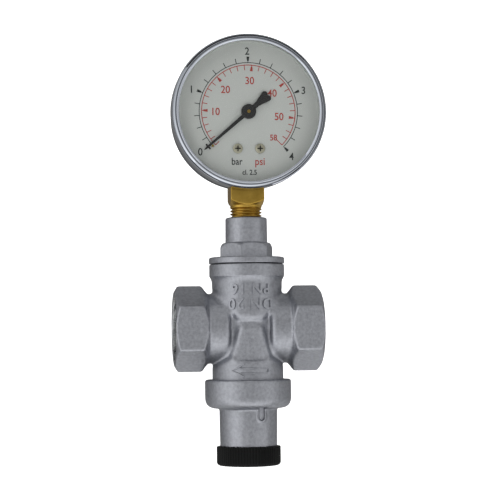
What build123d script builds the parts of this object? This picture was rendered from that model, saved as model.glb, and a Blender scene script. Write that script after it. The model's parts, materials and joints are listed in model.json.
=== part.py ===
"""Piston-type pressure reducing valve, G3/4, with a bottom-connection dial gauge.

The run axis is X. The inlet is at +X and its mouth is centred on the origin. The spring housing and its
cap hang below the run, and the gauge stands above it with its dial facing -Y. All sizes are millimetres.
"""
from build123d import *
from math import atan2, cos, degrees, dist, pi, radians, sin, sqrt
import os

# ---------------------------------------------------------------- driving dimensions: run and ports
FACE_TO_FACE = 61.0
PORT_HEX = 31.0                 # across flats
PORT_HEX_LENGTH = 13.0
PORT_MAJOR_R = 26.441 / 2       # G3/4 female thread, drawn as a plain bore at its minor diameter
PORT_MINOR_R = 24.117 / 2
PORT_BORE_LENGTH = 12.7
PORT_COUNTERSINK = 0.3
RUN_R = 14.8

# ---------------------------------------------------------------- driving dimensions: valve axis
UPPER_NECK_R = 14.55
TOP_RIM_R = 15.6
TOP_RIM_Z = 26.5
LOWER_NECK_R = 14.7
HOUSING_THREAD_R = 15.0         # M30 x 1.5
BODY_BOTTOM_Z = -30.5
PLUG_THREAD_R = 12.0            # M24 x 1.5
CHAMBER_R = 10.5
PARTITION_TOP_Z = 3.0
PARTITION_BOTTOM_Z = -3.0
SEAT_HOLE_R = 8.05
SEAT_BORE_R = 5.6
SEAT_LIP_Z = 5.2
SEAT_FLANGE = (3.5, 4.6)
STEM_R = 3.0
STEM_TOP_Z = 24.0
SHUTTER_R = 7.8
SHUTTER_THICKNESS = 2.0
HOLDER_R = 8.4
HOLDER_TOP_Z = 20.0
NUT_TOP_Z = 23.0
LIFT = 2.95                     # piston travel, open to closed
PISTON_BORE_R = 12.0
PISTON_TOP_Z = -12.05
PISTON_UNDER_Z = -19.0
BALANCE_R = 6.5
FINE_PITCH = 1.5

# ---------------------------------------------------------------- driving dimensions: plug
FLANGE_R = 15.7
FLANGE_Z = (26.8, 29.5)
PLUG_HEX = 20.0
PLUG_HEX_TOP_Z = 35.5
PLUG_HEX_CORNER = -108.7        # direction of one corner of the hexagon, in degrees about Z
BOSS_R = 8.65
BOSS_TOP_Z = 46.0

# ---------------------------------------------------------------- driving dimensions: spring housing
COLLAR_R = 17.85
COLLAR_Z = (-21.0, -32.9)
BELL_R = (12.0, 11.75)
BELL_BOTTOM_Z = -48.5
SPIGOT_R = 11.2
SPIGOT_BOTTOM_Z = -53.4
SPRING_SPACE_R = 10.6
SCREW_BORE_R = 10.0
SPRING_MEAN_R = 7.6
SPRING_WIRE_R = 1.3
SPRING_TURNS = 6.5
PLATE_Z = (-42.5, -44.5)
SCREW_Z = (-44.6, -51.0)
KEY_SOCKET = 12.0
KEY_SOCKET_DEPTH = 5.0
CAP_R = 13.25
CAP_BOTTOM_Z = -56.4
CAP_RIBS = 68
CAP_RIB_DEPTH = 0.3
BREATHER_X = 4.2
BREATHER_WIDTH = 4.2
BREATHER_Z = (-38.6, -33.0)

# ---------------------------------------------------------------- driving dimensions: gauge
GAUGE_Z = 88.7
GAUGE_MAJOR_R = 13.157 / 2      # G1/4 male thread
GAUGE_MINOR_R = 11.445 / 2
GAUGE_PITCH = 1.337
SHANK = 14.0                    # square
CASE_R = 30.75
CASE_BACK = -9.5                # depths along the gauge axis are from the valve axis, front positive
CASE_FRONT = 14.4
BEZEL_R = 31.8
BEZEL_OPENING_R = 28.9
BEZEL_FRONT = 18.0
BEZEL_BACK = 8.0
WINDOW = (15.4, 17.0)
DIAL = (12.7, 13.2)
DIAL_R = 29.6
DIAL_SCREW = (4.6, -15.2)
POINTER_REST = 220.7            # the stop pin holds the pointer a little short of the scale's zero
POINTER_SWEEP = 265.7           # from rest to the top of the scale
POINTER_TIP_R = 24.5
POINTER_TAIL_R = 10.9
POINTER_HUB_R = 3.05
POINTER_LOBE_R = 1.25
STOP_PIN_R = 0.45
STOP_PIN_REACH = 20.6
STOP_PIN_LAG = 2.7              # degrees from the pointer's centre line to the pin
MODULE = 0.2
PINION_TEETH = 12
SECTOR_TEETH = 96               # of a full circle
SECTOR_DIRECTION = -45.0        # from the pointer shaft to the sector's pivot
SECTOR_SWING = POINTER_SWEEP * PINION_TEETH / SECTOR_TEETH
TAIL_R = 6.0
TUBE_R = 22.0
TUBE_END_ANGLE = 8.0
TUBE_SWEEP = 252.0
BACK_PLATE = (3.0, 4.0)
FRONT_PLATE = (9.0, 10.0)
GEAR = (5.8, 7.2)
ARBOR_R = 0.7

VALVE_AXIS = Pos(-FACE_TO_FACE / 2, 0, 0)
HALF_RUN = FACE_TO_FACE / 2


# ---------------------------------------------------------------- shared shapes
def turned(points):
    """A solid of revolution about Z from its half section, as (radius, height) points."""
    corners = [b for a, b in zip([None, *points], points) if a is None or dist(a, b) > 1e-6]
    section = Plane.XZ * make_face(Polyline([*corners, corners[0]]))
    return revolve(section, Axis.Z)


def disc(radius, bottom, top):
    return Pos(0, 0, (bottom + top) / 2) * Cylinder(radius, abs(top - bottom))


def ring(outer, inner, bottom, top):
    return disc(outer, bottom, top) - disc(inner, bottom - 1, top + 1)


def o_ring(mean_r, section_r, z):
    return Pos(0, 0, z) * Torus(mean_r, section_r)


def hexagon(across_flats, bottom, top, turn=0.0):
    """A hexagonal prism on Z, with one corner turned from +X by an angle in degrees."""
    outline = RegularPolygon(across_flats / 2, 6, major_radius=False, rotation=turn)
    low, high = sorted((bottom, top))
    return Pos(0, 0, low) * extrude(outline, high - low)


def thread_edge(crest_r, root_r, start, turns, pitch):
    """The zigzag of a thread, as (radius, height) points going up from its first crest."""
    points = []
    for turn in range(turns):
        base = start + turn * pitch
        points += [(crest_r, base), (crest_r, base + 0.28 * pitch)]
        points += [(root_r, base + 0.56 * pitch), (root_r, base + 0.72 * pitch)]
    points.append((crest_r, start + turns * pitch))
    return points


def along_run(shape, side):
    """Lay a shape made on +Z along the run, towards the inlet (side 1) or the outlet (side -1)."""
    return Rot(0, 90 * side, 0) * shape


def on_gauge(shape):
    """Stand a shape made in the dial's plane, with +Y up and +Z towards the reader, on the gauge."""
    return Pos(0, 0, GAUGE_Z) * Rot(90, 0, 0) * shape


# ---------------------------------------------------------------- valve body
def port_end(side):
    """A hexagonal port end with both edges turned to a cone."""
    inner = HALF_RUN - PORT_HEX_LENGTH
    corner_r = PORT_HEX / sqrt(3)
    envelope = turned([
        (0, inner), (15.4, inner), (corner_r, inner + 1.6), (corner_r, HALF_RUN - 1.6),
        (15.3, HALF_RUN), (0, HALF_RUN)])
    return along_run(hexagon(PORT_HEX, inner, HALF_RUN) & envelope, side)


def port_cavity(side):
    """The port with a countersunk mouth, a relief groove and the pocket behind it."""
    mouth = HALF_RUN - PORT_COUNTERSINK
    bore_end = mouth - PORT_BORE_LENGTH
    pocket = HALF_RUN - 17.0
    flare_r = PORT_MINOR_R + PORT_COUNTERSINK
    return along_run(turned([
        (0, pocket), (10.8, pocket), (10.8, bore_end - 1.6), (PORT_MAJOR_R, bore_end - 1.6),
        (PORT_MAJOR_R, bore_end), (PORT_MINOR_R, bore_end), (PORT_MINOR_R, mouth), (flare_r, HALF_RUN),
        (flare_r, HALF_RUN + 1), (0, HALF_RUN + 1)]), side)


def channel(side):
    """The passage from a port into its chamber: above the partition for the inlet, below for the outlet."""
    tube = along_run(disc(CHAMBER_R, 0, HALF_RUN - 16.0), side)
    if side > 0:
        return tube & Pos(0, 0, PARTITION_TOP_Z + 20) * Box(80, 80, 40)
    return tube & Pos(0, 0, PARTITION_BOTTOM_Z - 20) * Box(80, 80, 40)


def valve_body():
    run = along_run(disc(RUN_R, -18, 18), 1)
    barrel = turned([
        (0, BODY_BOTTOM_Z), (HOUSING_THREAD_R - 0.9, BODY_BOTTOM_Z),
        *thread_edge(HOUSING_THREAD_R, HOUSING_THREAD_R - 0.9, BODY_BOTTOM_Z + 0.3, 5, FINE_PITCH),
        (LOWER_NECK_R, BODY_BOTTOM_Z + 8.6), (LOWER_NECK_R, -8), (UPPER_NECK_R, 0),
        (UPPER_NECK_R, 20.2), (TOP_RIM_R, 21.6), (TOP_RIM_R, TOP_RIM_Z - 0.4),
        (TOP_RIM_R - 0.4, TOP_RIM_Z), (0, TOP_RIM_Z)])
    body = run + barrel + port_end(1) + port_end(-1)
    bore = turned([
        (0, PARTITION_TOP_Z), (CHAMBER_R, PARTITION_TOP_Z), (CHAMBER_R, 17),
        (PLUG_THREAD_R, 17), (PLUG_THREAD_R, TOP_RIM_Z + 1), (0, TOP_RIM_Z + 1)])
    sump = turned([
        (0, PARTITION_BOTTOM_Z), (CHAMBER_R, PARTITION_BOTTOM_Z), (CHAMBER_R, PISTON_TOP_Z + 0.05),
        (PISTON_BORE_R, PISTON_TOP_Z + 0.05), (PISTON_BORE_R, BODY_BOTTOM_Z - 1), (0, BODY_BOTTOM_Z - 1)])
    body -= disc(SEAT_HOLE_R, PARTITION_BOTTOM_Z - 1, PARTITION_TOP_Z + 1)
    for cavity in (bore, sump, channel(1), channel(-1), port_cavity(1), port_cavity(-1)):
        body -= cavity
    return body


# ---------------------------------------------------------------- seat and moving set
def seat_ring():
    flange_r = SEAT_HOLE_R + 1.35
    under, top = SEAT_FLANGE
    return turned([
        (SEAT_BORE_R, PARTITION_BOTTOM_Z), (SEAT_HOLE_R - 0.05, PARTITION_BOTTOM_Z),
        (SEAT_HOLE_R - 0.05, under), (flange_r, under), (flange_r, top), (6.9, top),
        (6.6, SEAT_LIP_Z), (6.3, SEAT_LIP_Z), (SEAT_BORE_R, 4.4)])


def seat_gasket():
    return ring(SEAT_HOLE_R + 1.35, SEAT_HOLE_R, PARTITION_TOP_Z, SEAT_FLANGE[0])


def shutter_face_z():
    return SEAT_LIP_Z + LIFT + 0.05


def piston():
    """Piston head with a seal groove and a skirt round the spring, and a hollow stem up through the seat."""
    head_r = PISTON_BORE_R - 0.06
    shank_r = STEM_R + 0.6
    shoulder = shutter_face_z() - 1.2
    outline = turned([
        (0, STEM_TOP_Z), (STEM_R - 0.4, STEM_TOP_Z), (STEM_R, STEM_TOP_Z - 0.4), (STEM_R, shoulder),
        (shank_r, shoulder), (shank_r, PISTON_TOP_Z), (head_r, PISTON_TOP_Z), (head_r, -14.2),
        (9.9, -14.2), (9.9, -16.8), (head_r, -16.8), (head_r, -26.5), (10.0, -26.5),
        (10.0, PISTON_UNDER_Z), (5.6, PISTON_UNDER_Z), (5.6, -21.6), (5.2, -22), (0, -22)])
    outline -= disc(1.25, -8, STEM_TOP_Z + 1)
    return outline - Pos(0, 0, -6.8) * Rot(0, 90, 0) * Cylinder(1.2, 10)


def piston_seal():
    return o_ring(10.94, 0.99, -15.5)


def shutter_washer():
    face = shutter_face_z()
    return ring(5.2, STEM_R, face - 1.2, face)


def shutter_disc():
    face = shutter_face_z()
    return ring(SHUTTER_R, STEM_R, face, face + SHUTTER_THICKNESS)


def shutter_holder():
    """The cup that carries the rubber disc, with the balancing sleeve above it."""
    face = shutter_face_z()
    seat = face + SHUTTER_THICKNESS
    return turned([
        (STEM_R, seat), (SHUTTER_R, seat), (SHUTTER_R, face + 0.4), (HOLDER_R, face + 0.4),
        (HOLDER_R, face + 4.0), (BALANCE_R, face + 4.4), (BALANCE_R, HOLDER_TOP_Z - 0.4),
        (BALANCE_R - 0.4, HOLDER_TOP_Z), (STEM_R, HOLDER_TOP_Z)])


def shutter_nut():
    return hexagon(9.0, HOLDER_TOP_Z, NUT_TOP_Z) - disc(STEM_R, HOLDER_TOP_Z - 1, NUT_TOP_Z + 1)


def balance_seal():
    return o_ring(BALANCE_R + 0.83, 0.78, 15.5)


# ---------------------------------------------------------------- plug
def plug_gasket():
    return ring(TOP_RIM_R - 1.0, PLUG_THREAD_R + 0.6, TOP_RIM_Z, FLANGE_Z[0])


def top_plug():
    """Closing plug: balancing bore below, thread, flange, hexagon and the boss that takes the gauge."""
    thread = thread_edge(PLUG_THREAD_R - 0.02, PLUG_THREAD_R - 0.9, 17.2, 6, FINE_PITCH)
    outline = turned([
        (0, 13.2), (9.3, 13.2), (9.3, 17.0), (PLUG_THREAD_R - 0.9, 17.0), *thread,
        (PLUG_THREAD_R - 0.5, FLANGE_Z[0]), (FLANGE_R, FLANGE_Z[0]), (FLANGE_R, FLANGE_Z[1] - 0.7),
        (FLANGE_R - 0.2, FLANGE_Z[1] - 0.2), (FLANGE_R - 0.7, FLANGE_Z[1]),
        (BOSS_R + 0.08, FLANGE_Z[1]), (BOSS_R + 0.08, PLUG_HEX_TOP_Z), (BOSS_R, BOSS_TOP_Z - 0.5),
        (BOSS_R - 0.5, BOSS_TOP_Z), (0, BOSS_TOP_Z)])
    corner_r = PLUG_HEX / sqrt(3)
    cone = turned([
        (0, FLANGE_Z[1] - 0.5), (corner_r, FLANGE_Z[1] - 0.5), (corner_r, PLUG_HEX_TOP_Z - 1.9),
        (PLUG_HEX / 2 - 0.1, PLUG_HEX_TOP_Z), (0, PLUG_HEX_TOP_Z)])
    outline += hexagon(PLUG_HEX, FLANGE_Z[1] - 0.5, PLUG_HEX_TOP_Z, PLUG_HEX_CORNER) & cone
    socket_bottom = BOSS_TOP_Z - 11.7
    socket = thread_edge(GAUGE_MINOR_R + 0.04, GAUGE_MAJOR_R + 0.04, gauge_thread_start(), 8, GAUGE_PITCH)
    bore = turned([
        (0, 13), (BALANCE_R + 0.06, 13), (BALANCE_R + 0.06, 14.6), (8.2, 14.6), (8.2, 16.4),
        (BALANCE_R + 0.06, 16.4), (BALANCE_R + 0.06, 25.5), (2.0, 26.8), (2.0, socket_bottom),
        (GAUGE_MINOR_R + 0.04, socket_bottom), *socket, (GAUGE_MAJOR_R + 0.04, BOSS_TOP_Z - 0.2),
        (GAUGE_MAJOR_R + 0.3, BOSS_TOP_Z + 0.1), (0, BOSS_TOP_Z + 0.1)])
    return outline - bore


def gauge_thread_start():
    return BOSS_TOP_Z - 10.9


# ---------------------------------------------------------------- spring housing
def bell_r(z):
    share = (z - COLLAR_Z[1]) / (BELL_BOTTOM_Z - COLLAR_Z[1])
    return BELL_R[0] + (BELL_R[1] - BELL_R[0]) * share


def spring_housing():
    """The collar that screws over the body, the bell round the spring and the spigot for the cap."""
    top, bottom = COLLAR_Z
    shell = turned([
        (0, top), (COLLAR_R - 0.6, top), (COLLAR_R, top - 0.6), (COLLAR_R, bottom), (BELL_R[0], bottom),
        (BELL_R[1], BELL_BOTTOM_Z), (SPIGOT_R, BELL_BOTTOM_Z), (SPIGOT_R, SPIGOT_BOTTOM_Z + 0.4),
        (SPIGOT_R - 0.4, SPIGOT_BOTTOM_Z), (0, SPIGOT_BOTTOM_Z)])
    rim = [e for e in shell.edges().filter_by(GeomType.CIRCLE)
           if abs(e.radius - COLLAR_R) < 0.01 and abs(e.center().Z - bottom) < 0.01]
    shell = fillet(rim, 2.6)
    shell -= turned([
        (0, top + 1), (HOUSING_THREAD_R + 0.35, top + 1), (HOUSING_THREAD_R + 0.35, top - 0.1),
        (HOUSING_THREAD_R + 0.05, top - 0.4), (HOUSING_THREAD_R + 0.05, BODY_BOTTOM_Z - 0.5),
        (SPRING_SPACE_R, BODY_BOTTOM_Z - 0.5), (SPRING_SPACE_R, -40.0), (SCREW_BORE_R, -40.6),
        (SCREW_BORE_R, SPIGOT_BOTTOM_Z - 1), (0, SPIGOT_BOTTOM_Z - 1)])
    return shell - breather_recess()


def breather_recess():
    """A shallow round-ended pocket in the bell's front, just under the collar."""
    low, high = BREATHER_Z
    round_r = BREATHER_WIDTH / 2
    straight = Rectangle(BREATHER_WIDTH, high - low - round_r, align=(Align.CENTER, Align.MAX))
    outline = straight + Pos(0, low - high + round_r) * Circle(round_r)
    return Pos(BREATHER_X, 1.3 - BELL_R[0], high) * Rot(90, 0, 0) * extrude(outline, 3)


def housing_gasket():
    return ring(HOUSING_THREAD_R - 0.1, PISTON_BORE_R + 0.5, BODY_BOTTOM_Z - 0.5, BODY_BOTTOM_Z)


def regulating_spring():
    """Open-wound compression spring with both ends ground flat."""
    top, bottom = PISTON_UNDER_Z, PLATE_Z[0]
    pitch = (top - bottom) / SPRING_TURNS
    path = Helix(pitch, top - bottom, SPRING_MEAN_R)
    start = path @ 0
    wire = Plane(start, z_dir=path % 0) * Circle(SPRING_WIRE_R)
    coil = Pos(0, 0, bottom) * sweep(wire, path, is_frenet=True)
    return coil & disc(SPRING_MEAN_R + 2 * SPRING_WIRE_R, bottom, top)


def spring_plate():
    top, bottom = PLATE_Z
    return turned([
        (0, top + 2.4), (5.4, top + 2.4), (5.8, top + 2.0), (5.8, top), (9.7, top), (9.7, bottom),
        (3.05, bottom), (3.05, bottom + 1.0), (0, bottom + 1.0)])


def adjusting_screw():
    """Threaded disc with a pip that turns in the spring plate and a hexagon socket for the key."""
    top, bottom = SCREW_Z
    edge = thread_edge(SCREW_BORE_R - 0.08, SCREW_BORE_R - 0.9, bottom + 0.5, 3, FINE_PITCH)
    body = turned([
        (0, bottom), (SCREW_BORE_R - 0.9, bottom), *edge, (SCREW_BORE_R - 0.9, top), (3.0, top),
        (3.0, top + 0.9), (0, top + 0.9)])
    return body - hexagon(KEY_SOCKET, bottom - 1, bottom + KEY_SOCKET_DEPTH)


def cap():
    """Push-on plastic cap with fine grip ribs."""
    top, bottom = BELL_BOTTOM_Z - 0.05, CAP_BOTTOM_Z
    core_r = CAP_R - CAP_RIB_DEPTH
    body = turned([
        (0, top), (core_r - 0.2, top), (core_r, top - 0.2), (core_r, bottom + 1.3),
        (core_r - 0.38, bottom + 0.38), (core_r - 1.3, bottom), (0, bottom)])
    body -= disc(SPIGOT_R + 0.06, bottom + 2.0, top + 1)
    rib = Pos(core_r, 0, (top + bottom + 0.9) / 2) * Cylinder(CAP_RIB_DEPTH, top - bottom - 1.5)
    return body + [Rot(0, 0, i * 360 / CAP_RIBS) * rib for i in range(CAP_RIBS)]


# ---------------------------------------------------------------- gauge: shell
def gauge_socket():
    """Brass thread and square shank, widened inside the case to carry the tube and the movement."""
    start = gauge_thread_start()
    turns = 11
    corner_r = SHANK / 2 + 3.0
    stem = turned([
        (0, BOSS_TOP_Z - 11.2), (GAUGE_MINOR_R - 0.3, BOSS_TOP_Z - 11.2), (GAUGE_MINOR_R, start),
        *thread_edge(GAUGE_MINOR_R, GAUGE_MAJOR_R, start, turns, GAUGE_PITCH),
        (GAUGE_MAJOR_R, start + turns * GAUGE_PITCH + 0.5), (GAUGE_MAJOR_R, 51.2), (corner_r, 53.3), (corner_r, 67.0),
        (0, 67.0)])
    square = Pos(0, 0, 58.5) * Box(SHANK, SHANK, 17)
    low_part = stem & (square + disc(SHANK / 2, 30, 51.3))
    low, high = 60.6, GAUGE_Z - 6.0
    carrier = Pos(0, 2.0, (low + high) / 2) * Box(16, 10, high - low)
    bore = disc(1.6, 30, 68) - disc(3, 66, 69)
    body = low_part + carrier - bore - bourdon_tube()
    for x, y in movement_screw_places():
        body -= on_gauge(Pos(x, y, 0) * disc(0.8, -2, 5))
    return body


def gauge_seal():
    bottom = BOSS_TOP_Z - 11.7
    return ring(GAUGE_MINOR_R - 0.1, 2.0, bottom, bottom + 0.5)


def gauge_case():
    """Round-backed steel cup with a square opening below for the shank."""
    wall = 0.8
    outside = disc(CASE_R, CASE_BACK, CASE_FRONT)
    outside = fillet(outside.edges().group_by(Axis.Z)[0], 4.0)
    inside = disc(CASE_R - wall, CASE_BACK + wall, CASE_FRONT + 1)
    inside = fillet(inside.edges().group_by(Axis.Z)[0], 3.2)
    opening = Pos(0, -CASE_R, 0) * Box(SHANK + 0.1, 8, SHANK + 0.1)
    return on_gauge(outside - inside - opening)


def gauge_bezel():
    """Polished ring rolled over the window and over the case's rim."""
    inner = CASE_R + 0.05
    profile = turned([
        (inner, BEZEL_BACK), (BEZEL_R - 0.35, BEZEL_BACK), (BEZEL_R, BEZEL_BACK + 0.5),
        (BEZEL_R, BEZEL_FRONT - 1.6), (BEZEL_R - 0.25, BEZEL_FRONT - 0.75),
        (BEZEL_R - 0.8, BEZEL_FRONT - 0.2), (BEZEL_R - 1.5, BEZEL_FRONT),
        (BEZEL_OPENING_R + 0.5, BEZEL_FRONT - 0.1), (BEZEL_OPENING_R, WINDOW[1] + 0.45),
        (BEZEL_OPENING_R, WINDOW[1]), (inner, WINDOW[1])])
    return on_gauge(profile)


def gauge_window():
    return on_gauge(disc(CASE_R - 0.1, *WINDOW))


def window_gasket():
    inner = BEZEL_OPENING_R
    return on_gauge(turned([
        (inner, DIAL[1] + 0.05), (CASE_R - 0.85, DIAL[1] + 0.05), (CASE_R - 0.85, CASE_FRONT),
        (CASE_R, CASE_FRONT), (CASE_R, WINDOW[0]), (inner, WINDOW[0])]))


def gauge_dial():
    plate = disc(DIAL_R, *DIAL) - disc(1.4, 10, 15)
    for side in (-1, 1):
        plate -= Pos(side * DIAL_SCREW[0], DIAL_SCREW[1]) * disc(1.25, 10, 15)
    x, y = stop_pin_place()
    plate -= Pos(x, y) * disc(STOP_PIN_R, 10, 15)
    return on_gauge(plate)


def dial_posts():
    post = disc(2.0, BACK_PLATE[0], DIAL[0]) - disc(1.2, 8.0, 14)
    return [on_gauge(Pos(side * DIAL_SCREW[0], DIAL_SCREW[1]) * post) for side in (-1, 1)]


def dial_screws():
    head = turned([
        (0, DIAL[1]), (2.0, DIAL[1]), (2.0, DIAL[1] + 0.5), (1.5, DIAL[1] + 0.95), (0, DIAL[1] + 1.1)])
    screw = head + disc(1.2, 8.2, DIAL[1])
    for turn in (0, 90):
        screw -= Pos(0, 0, DIAL[1] + 1.0) * Rot(0, 0, turn) * Box(2.4, 0.45, 1.2)
    return [on_gauge(Pos(side * DIAL_SCREW[0], DIAL_SCREW[1]) * screw) for side in (-1, 1)]


def stop_pin_place():
    angle = radians(POINTER_REST + STOP_PIN_LAG)
    return STOP_PIN_REACH * cos(angle), STOP_PIN_REACH * sin(angle)


def stop_pin():
    x, y = stop_pin_place()
    return on_gauge(Pos(x, y) * disc(STOP_PIN_R, DIAL[0], WINDOW[0] - 0.5))


# ---------------------------------------------------------------- gauge: pointer and movement
def sector_pivot():
    reach = MODULE * (PINION_TEETH + SECTOR_TEETH) / 2
    return reach * cos(radians(SECTOR_DIRECTION)), reach * sin(radians(SECTOR_DIRECTION))


def tail_pin_place():
    """Where the link joins the sector's tail at rest, half the swing below the level line."""
    x, y = sector_pivot()
    half_swing = radians(SECTOR_SWING / 2)
    return x + TAIL_R * cos(half_swing), y - TAIL_R * sin(half_swing)


def tip_pin_place():
    x, y = tail_pin_place()
    return x + 3.2, y + 10.4


def tip_pin_travel():
    return 2 * TAIL_R * sin(radians(SECTOR_SWING / 2))


def movement_screw_places():
    return [(-4.4, -9.6), (1.6, -9.6)]


def pillar_places():
    return [(-6.3, -1.5), (8.6, -11.3), (-6.8, -11.0)]


def pointer():
    """Flat pointer with a slender blade, a round hub and a tail that ends in two round lobes, at rest."""
    shoulder = POINTER_TIP_R - 1.2
    blade = make_face(Polyline([
        (0, 0.85), (shoulder, 0.42), (POINTER_TIP_R, 0), (shoulder, -0.42), (0, -0.85), (0, 0.85)]))
    lobe_x = POINTER_LOBE_R - POINTER_TAIL_R
    lobe_y = 1.1
    tail = make_face(Polyline([
        (0, 1.0), (-4.8, 1.05), (lobe_x + 0.4, 2.25), (lobe_x - 0.65, 0.9), (lobe_x - 0.65, -0.9),
        (lobe_x + 0.4, -2.25), (-4.8, -1.05), (0, -1.0), (0, 1.0)]))
    for side in (-1, 1):
        tail += Pos(lobe_x, side * lobe_y) * Circle(POINTER_LOBE_R)
    flat = Pos(0, 0, 14.1) * extrude(blade + tail, 0.35)
    hub = turned([
        (0, 13.7), (POINTER_HUB_R, 13.7), (POINTER_HUB_R, 14.5), (POINTER_HUB_R - 0.4, 14.8), (0, 14.8)])
    needle = flat + hub - disc(ARBOR_R, 10, 20)
    return on_gauge(Rot(0, 0, POINTER_REST) * needle)


def gear_tooth(pitch_r, thickness, outer, inner):
    """One straight-flanked tooth on +X, as wide at the pitch circle as stated."""
    lean = 0.364
    half_out = thickness / 2 - outer * lean
    half_in = thickness / 2 + inner * lean
    corners = [(pitch_r - inner, -half_in), (pitch_r + outer, -half_out), (pitch_r + outer, half_out),
               (pitch_r - inner, half_in), (pitch_r - inner, -half_in)]
    return make_face(Polyline(corners))


def pointer_shaft():
    pitch_r = MODULE * PINION_TEETH / 2
    root_r = pitch_r - 1.25 * MODULE
    face = Circle(root_r + 0.02)
    tooth = gear_tooth(pitch_r, 0.40 * pi * MODULE, 0.9 * MODULE, 1.25 * MODULE)
    for i in range(PINION_TEETH):
        face += Rot(0, 0, SECTOR_DIRECTION + (i + 0.5) * 360 / PINION_TEETH) * tooth
    wheel = Pos(0, 0, GEAR[0]) * extrude(face, GEAR[1] - GEAR[0])
    arbor = disc(ARBOR_R, BACK_PLATE[0] + 0.05, 14.95)
    return on_gauge(wheel + arbor)


def sector_gear():
    """Toothed sector on its own arbor, with the tail that the link pulls."""
    pitch_r = MODULE * SECTOR_TEETH / 2
    px, py = sector_pivot()
    facing = SECTOR_DIRECTION + 180
    step = 360 / SECTOR_TEETH
    first, last = -int((SECTOR_SWING + 5) / step), 2
    root_r = pitch_r - 1.25 * MODULE
    wedge = [(0, 0)]
    for k in range(9):
        angle = radians(facing + (first - 1) * step + k * (last - first + 2) * step / 8)
        wedge.append((root_r * cos(angle), root_r * sin(angle)))
    blank = make_face(Polyline([*wedge, wedge[0]])) & Circle(root_r)
    blank -= Circle(root_r - 2.0) - Circle(3.4) - Rot(0, 0, facing + (first + last) / 2 * step) * Pos(
        5, 0) * Rectangle(10, 2.4)
    rim_angle = (last - first + 1) * step
    rim = Rot(0, 0, facing + (first - 0.5) * step) * sector_rim(root_r + 0.05, root_r - 2.0, rim_angle)
    face = blank + rim + Circle(2.2)
    tooth = gear_tooth(pitch_r, 0.42 * pi * MODULE, 0.9 * MODULE, 1.25 * MODULE)
    for k in range(first, last + 1):
        face += Rot(0, 0, facing + k * step) * tooth
    tx, ty = tail_pin_place()
    tail = Pos(TAIL_R / 2, 0) * Rectangle(TAIL_R, 2.4) + Pos(TAIL_R, 0) * Circle(1.2)
    face += Rot(0, 0, -SECTOR_SWING / 2) * tail
    face -= Pos(tx - px, ty - py) * Circle(0.55)
    plate = Pos(px, py, GEAR[0]) * extrude(face, GEAR[1] - GEAR[0])
    arbor = Pos(px, py) * disc(0.8, BACK_PLATE[0] + 0.05, FRONT_PLATE[1] - 0.05)
    return on_gauge(plate + arbor)


def sector_rim(outer, inner, angle):
    """A flat arc of a ring, from +X round to the angle."""
    points = [(outer * cos(radians(a)), outer * sin(radians(a))) for a in spread(0, angle, 12)]
    points += [(inner * cos(radians(a)), inner * sin(radians(a))) for a in spread(angle, 0, 12)]
    return make_face(Polyline([*points, points[0]]))


def spread(start, end, count):
    return [start + (end - start) * i / (count - 1) for i in range(count)]


def link():
    """Flat bar from the sector's tail to the end of the tube."""
    (ax, ay), (bx, by) = tail_pin_place(), tip_pin_place()
    length = sqrt((bx - ax) ** 2 + (by - ay) ** 2)
    angle = degrees(atan2(by - ay, bx - ax))
    bar = Pos(length / 2, 0) * Rectangle(length, 1.1) + Circle(1.1) + Pos(length, 0) * Circle(1.1)
    bar -= Circle(0.5) + Pos(length, 0) * Circle(0.5)
    return on_gauge(Pos(ax, ay, 5.0) * Rot(0, 0, angle) * extrude(bar, 0.6))


def link_pins():
    tail = disc(0.5, 5.0, GEAR[1]) + disc(0.9, 4.7, 5.0)
    tip = disc(0.5, 3.3, 5.6) + disc(0.9, 5.6, 5.9)
    (ax, ay), (bx, by) = tail_pin_place(), tip_pin_place()
    return [on_gauge(Pos(ax, ay) * tail), on_gauge(Pos(bx, by) * tip)]


def plate_outline():
    corners = [(-8.0, -12.7), (11.0, -12.7), (11.0, -4.0), (5.0, 5.0), (-5.0, 5.0), (-8.0, 0.5)]
    face = make_face(Polyline([*corners, corners[0]]))
    return fillet(face.vertices(), 1.5)


def movement_plate(span, screw_places, screw_r):
    px, py = sector_pivot()
    face = plate_outline() - Circle(ARBOR_R + 0.05) - Pos(px, py) * Circle(0.85)
    for x, y in screw_places:
        face -= Pos(x, y) * Circle(screw_r)
    return on_gauge(Pos(0, 0, span[0]) * extrude(face, span[1] - span[0]))


def movement_pillars():
    post = disc(0.95, BACK_PLATE[1], FRONT_PLATE[0]) - disc(0.5, 7.0, 12)
    return [on_gauge(Pos(x, y) * post) for x, y in pillar_places()]


def movement_screws():
    """Two screws hold the back plate to the carrier, and one goes into each pillar."""
    carrier_screw = disc(0.8, -1.5, 4.0) + (disc(1.4, 4.0, 4.9) - Pos(0, 0, 4.8) * Box(3, 0.4, 0.8))
    pillar_screw = disc(0.5, 7.2, 10.0) + (disc(1.1, 10.0, 10.8) - Pos(0, 0, 10.7) * Box(3, 0.35, 0.7))
    screws = [on_gauge(Pos(x, y) * carrier_screw) for x, y in movement_screw_places()]
    return screws + [on_gauge(Pos(x, y) * pillar_screw) for x, y in pillar_places()]


def hairspring():
    """Flat spiral strip round the pointer shaft."""
    turns, inner, outer, thickness = 3.5, 1.3, 4.9, 0.16
    steps = int(turns * 10)
    near, far = [], []
    for i in range(steps + 1):
        angle = 2 * pi * turns * i / steps
        reach = inner + (outer - inner) * i / steps
        near.append((reach * cos(angle), reach * sin(angle)))
        far.append(((reach + thickness) * cos(angle), (reach + thickness) * sin(angle)))
    edges = Spline(near) + Spline(far) + Line(near[0], far[0]) + Line(near[-1], far[-1])
    strip = extrude(make_face(edges), 0.8)
    return on_gauge(Pos(0, 0, 7.7) * strip)


# ---------------------------------------------------------------- gauge: tube
def tube_section(width, thickness):
    return Plane.XZ * Pos(TUBE_R, -2.0) * SlotOverall(width, thickness, rotation=90)


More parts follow.
